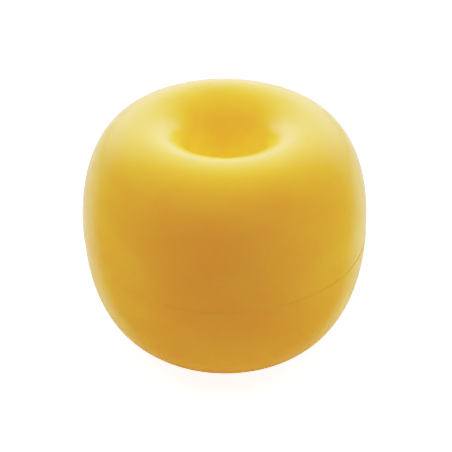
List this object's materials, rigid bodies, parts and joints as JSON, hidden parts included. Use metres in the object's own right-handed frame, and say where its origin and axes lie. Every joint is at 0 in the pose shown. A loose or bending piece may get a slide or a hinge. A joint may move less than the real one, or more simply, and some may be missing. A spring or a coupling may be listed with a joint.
{
  "type": "fence insulator",
  "caption": "Smooth hollow ring bead in welded moulded halves, with a round-lipped through bore that a fence wire or rope runs through.",
  "frame": {"origin": "centre of the bead, on the bore's axis at mid-height, in the plane of the seam", "axes": "+Z along the bore, out of the mouth of the grooved upper shell; the first rib lies on +X"},
  "size_m": [0.05, 0.05, 0.041],
  "materials": {
    "shell_plastic": "glossy golden yellow, slightly translucent",
    "weld_plastic": "re-set melt of the same golden yellow plastic"
  },
  "bodies": {
    "root": {"upper_shell": "shell_plastic", "lower_shell": "shell_plastic", "rim_weld_ring": "weld_plastic", "bore_weld_ring": "weld_plastic"}
  },
  "joints": []
}
